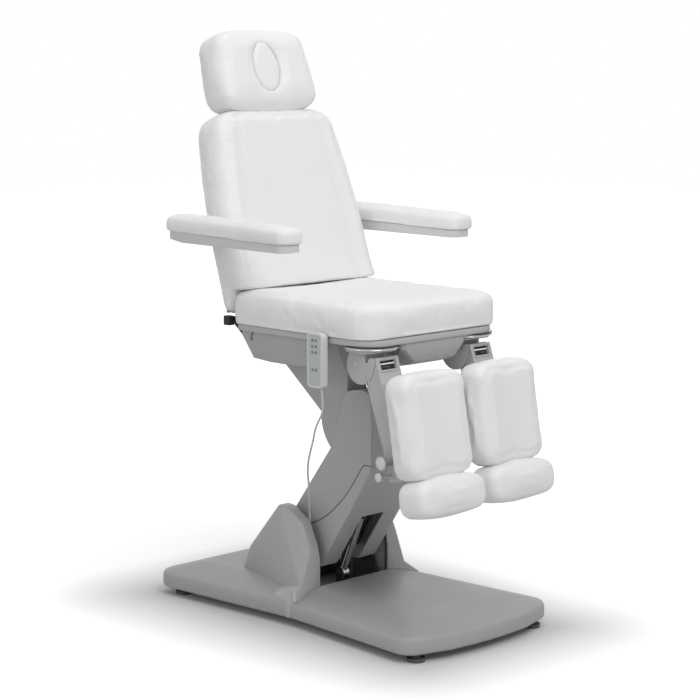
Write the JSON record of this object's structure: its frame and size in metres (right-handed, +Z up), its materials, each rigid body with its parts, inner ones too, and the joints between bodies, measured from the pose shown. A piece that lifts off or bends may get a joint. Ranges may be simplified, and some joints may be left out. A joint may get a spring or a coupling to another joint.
{
  "type": "podiatry chair",
  "caption": "Motorised podiatry chair with a lifting arm, reclining backrest, headrest with face hole, folding armrests and two separate swinging leg rests.",
  "frame": {"origin": "middle of the base at floor level", "axes": "+X towards the front of the chair, +Y to the patient's left, +Z up"},
  "size_m": [1.048, 0.728, 1.587],
  "materials": {
    "upholstery": "soft sheen",
    "cover_grey": "satin",
    "trim_grey": "satin",
    "painted_steel": "satin",
    "frame_steel": "satin",
    "bright_steel": "polished",
    "machined_steel": "brushed",
    "black_plastic": "matt",
    "handset_shell": "semi gloss",
    "keypad_film": "matt",
    "button_rubber": "matt",
    "cord_sheath": "matt",
    "foot_rubber": "matt",
    "board": "matt"
  },
  "bodies": {
    "base": {"base_cover": "cover_grey", "base_frame": "frame_steel", "levelling_feet": "foot_rubber", "pedestal_covers": "cover_grey", "base_pivot_shaft": "machined_steel", "control_box": "black_plastic", "mains_gland": "cord_sheath", "handset_cord": "cord_sheath"},
    "lift_arm": {"lift_arm_frame": "frame_steel", "lift_arm_cover": "cover_grey", "lift_arm_belly_cover": "cover_grey", "knee_shaft": "machined_steel"},
    "tie": {"tie_link": "frame_steel"},
    "lift_rod": {"lift_actuator_rod": "machined_steel"},
    "lift_motor": {"lift_actuator_motor": "black_plastic"},
    "seat": {"carrier_frame": "frame_steel", "carrier_cover": "cover_grey", "seat_frame": "frame_steel", "seat_tub": "cover_grey", "seat_rim": "trim_grey", "seat_cushion": "upholstery", "handset_hook": "bright_steel", "handset_case": "handset_shell", "handset_keypad": "keypad_film", "swivel_discs": "bright_steel"},
    "recline_motor": {"recline_actuator_motor": "black_plastic"},
    "recline_rod": {"recline_actuator_rod": "machined_steel"},
    "backrest": {"backrest_frame": "frame_steel", "backrest_pan": "board", "backrest_cushion": "upholstery", "backrest_hinge_blocks": "black_plastic"},
    "headrest": {"headrest_frame": "bright_steel", "headrest_cushion": "upholstery"},
    "plug": {"face_hole_plug": "upholstery"},
    "armrest_right": {"armrest_pad_right": "upholstery", "armrest_tray_right": "trim_grey"},
    "armrest_left": {"armrest_pad_left": "upholstery", "armrest_tray_left": "trim_grey"},
    "leg_swivel_right": {"leg_hinge_housing_right": "painted_steel"},
    "leg_right": {"leg_arm_right": "painted_steel", "calf_pad_right": "upholstery"},
    "foot_right": {"leg_extension_right": "painted_steel", "foot_pad_right": "upholstery"},
    "clamp_right": {"clamp_knob_right": "bright_steel"},
    "plunger_right": {"index_plunger_right": "bright_steel"},
    "leg_swivel_left": {"leg_hinge_housing_left": "painted_steel"},
    "leg_left": {"leg_arm_left": "painted_steel", "calf_pad_left": "upholstery"},
    "foot_left": {"leg_extension_left": "painted_steel", "foot_pad_left": "upholstery"},
    "clamp_left": {"clamp_knob_left": "bright_steel"},
    "plunger_left": {"index_plunger_left": "bright_steel"},
    "button_1": {"handset_button_1": "button_rubber"},
    "button_2": {"handset_button_2": "button_rubber"},
    "button_3": {"handset_button_3": "button_rubber"},
    "button_4": {"handset_button_4": "button_rubber"},
    "button_5": {"handset_button_5": "button_rubber"},
    "button_6": {"handset_button_6": "button_rubber"},
    "button_7": {"handset_button_7": "button_rubber"},
    "button_8": {"handset_button_8": "button_rubber"}
  },
  "joints": [
    {"name": "lift", "type": "hinge", "parent": "base", "child": "lift_arm", "pos_m": [-0.094, 0, 0.19], "axis": [0, 1, 0], "range_deg": [0, 45], "deforming": ["handset_cord"]},
    {"name": "seat_level", "type": "hinge", "parent": "lift_arm", "child": "seat", "pos_m": [0.09615, 0, 0.56], "axis": [0, 1, 0], "range_deg": [-45, 0]},
    {"name": "tie_swing", "type": "hinge", "parent": "base", "child": "tie", "pos_m": [-0.04953, 0, 0.16714], "axis": [0, 1, 0], "range_deg": [0, 45]},
    {"name": "lift_rod_tilt", "type": "hinge", "parent": "base", "child": "lift_rod", "pos_m": [-0.025, 0, 0.104], "axis": [0, 1, 0], "range_deg": [0, 50]},
    {"name": "lift_stroke", "type": "slide", "parent": "lift_rod", "child": "lift_motor", "axis": [-0.3922, 0, -0.9199], "range_m": [0, 0.095]},
    {"name": "recline", "type": "hinge", "parent": "seat", "child": "backrest", "pos_m": [-0.224, 0, 0.812], "axis": [0, -1, 0], "range_deg": [0, 68]},
    {"name": "recline_motor_tilt", "type": "hinge", "parent": "seat", "child": "recline_motor", "pos_m": [0.06, 0, 0.727], "axis": [0, -1, 0], "range_deg": [-10, 10]},
    {"name": "recline_stroke", "type": "slide", "parent": "recline_motor", "child": "recline_rod", "axis": [0.9982, 0, -0.0604], "range_m": [0, 0.1]},
    {"name": "headrest_height", "type": "slide", "parent": "backrest", "child": "headrest", "axis": [-0.309, 0, 0.9511], "range_m": [0, 0.1]},
    {"name": "plug_out", "type": "slide", "parent": "headrest", "child": "plug", "axis": [0.9511, 0, 0.309], "range_m": [0, 0.14]},
    {"name": "armrest_right_fold", "type": "hinge", "parent": "backrest", "child": "armrest_right", "pos_m": [-0.314, -0.3, 1.038], "axis": [0, -1, 0], "range_deg": [0, 100]},
    {"name": "armrest_left_fold", "type": "hinge", "parent": "backrest", "child": "armrest_left", "pos_m": [-0.314, 0.3, 1.038], "axis": [0, -1, 0], "range_deg": [0, 100]},
    {"name": "leg_right_swivel", "type": "hinge", "parent": "seat", "child": "leg_swivel_right", "pos_m": [0.25, -0.178, 0.78], "axis": [0, 0, -1], "range_deg": [0, 60]},
    {"name": "leg_right_raise", "type": "hinge", "parent": "leg_swivel_right", "child": "leg_right", "pos_m": [0.291, -0.178, 0.747], "axis": [0, -1, 0], "range_deg": [0, 75]},
    {"name": "leg_right_length", "type": "slide", "parent": "leg_right", "child": "foot_right", "axis": [0.1736, 0, -0.9848], "range_m": [0, 0.12]},
    {"name": "clamp_right_turn", "type": "hinge", "parent": "leg_right", "child": "clamp_right", "pos_m": [0.35953, -0.23, 0.50194], "axis": [0, 1, 0], "range_deg": [0, 180]},
    {"name": "plunger_right_pull", "type": "slide", "parent": "foot_right", "child": "plunger_right", "axis": [0, -1, 0], "range_m": [0, 0.008], "stiffness_N_per_m": 400},
    {"name": "leg_left_swivel", "type": "hinge", "parent": "seat", "child": "leg_swivel_left", "pos_m": [0.25, 0.178, 0.78], "axis": [0, 0, 1], "range_deg": [0, 60]},
    {"name": "leg_left_raise", "type": "hinge", "parent": "leg_swivel_left", "child": "leg_left", "pos_m": [0.291, 0.178, 0.747], "axis": [0, -1, 0], "range_deg": [0, 75]},
    {"name": "leg_left_length", "type": "slide", "parent": "leg_left", "child": "foot_left", "axis": [0.1736, 0, -0.9848], "range_m": [0, 0.12]},
    {"name": "clamp_left_turn", "type": "hinge", "parent": "leg_left", "child": "clamp_left", "pos_m": [0.35953, 0.23, 0.50194], "axis": [0, 1, 0], "range_deg": [0, 180]},
    {"name": "plunger_left_pull", "type": "slide", "parent": "foot_left", "child": "plunger_left", "axis": [0, 1, 0], "range_m": [0, 0.008], "stiffness_N_per_m": 400},
    {"name": "button_1_press", "type": "slide", "parent": "seat", "child": "button_1", "axis": [0, 1, 0], "range_m": [0, 0.001], "stiffness_N_per_m": 300},
    {"name": "button_2_press", "type": "slide", "parent": "seat", "child": "button_2", "axis": [0, 1, 0], "range_m": [0, 0.001], "stiffness_N_per_m": 300},
    {"name": "button_3_press", "type": "slide", "parent": "seat", "child": "button_3", "axis": [0, 1, 0], "range_m": [0, 0.001], "stiffness_N_per_m": 300},
    {"name": "button_4_press", "type": "slide", "parent": "seat", "child": "button_4", "axis": [0, 1, 0], "range_m": [0, 0.001], "stiffness_N_per_m": 300},
    {"name": "button_5_press", "type": "slide", "parent": "seat", "child": "button_5", "axis": [0, 1, 0], "range_m": [0, 0.001], "stiffness_N_per_m": 300},
    {"name": "button_6_press", "type": "slide", "parent": "seat", "child": "button_6", "axis": [0, 1, 0], "range_m": [0, 0.001], "stiffness_N_per_m": 300},
    {"name": "button_7_press", "type": "slide", "parent": "seat", "child": "button_7", "axis": [0, 1, 0], "range_m": [0, 0.001], "stiffness_N_per_m": 300},
    {"name": "button_8_press", "type": "slide", "parent": "seat", "child": "button_8", "axis": [0, 1, 0], "range_m": [0, 0.001], "stiffness_N_per_m": 300}
  ],
  "couplings": [
    {"joint": "seat_level", "follows": "lift", "ratio": -1},
    {"joint": "tie_swing", "follows": "lift", "ratio": 1},
    {"joint": "lift_rod_tilt", "follows": "lift", "ratio": 0.9296},
    {"joint": "lift_stroke", "follows": "lift", "m_per_rad": 0.10577},
    {"joint": "recline_motor_tilt", "follows": "recline", "ratio": -0.0244},
    {"joint": "recline_stroke", "follows": "recline", "m_per_rad": 0.06902}
  ]
}
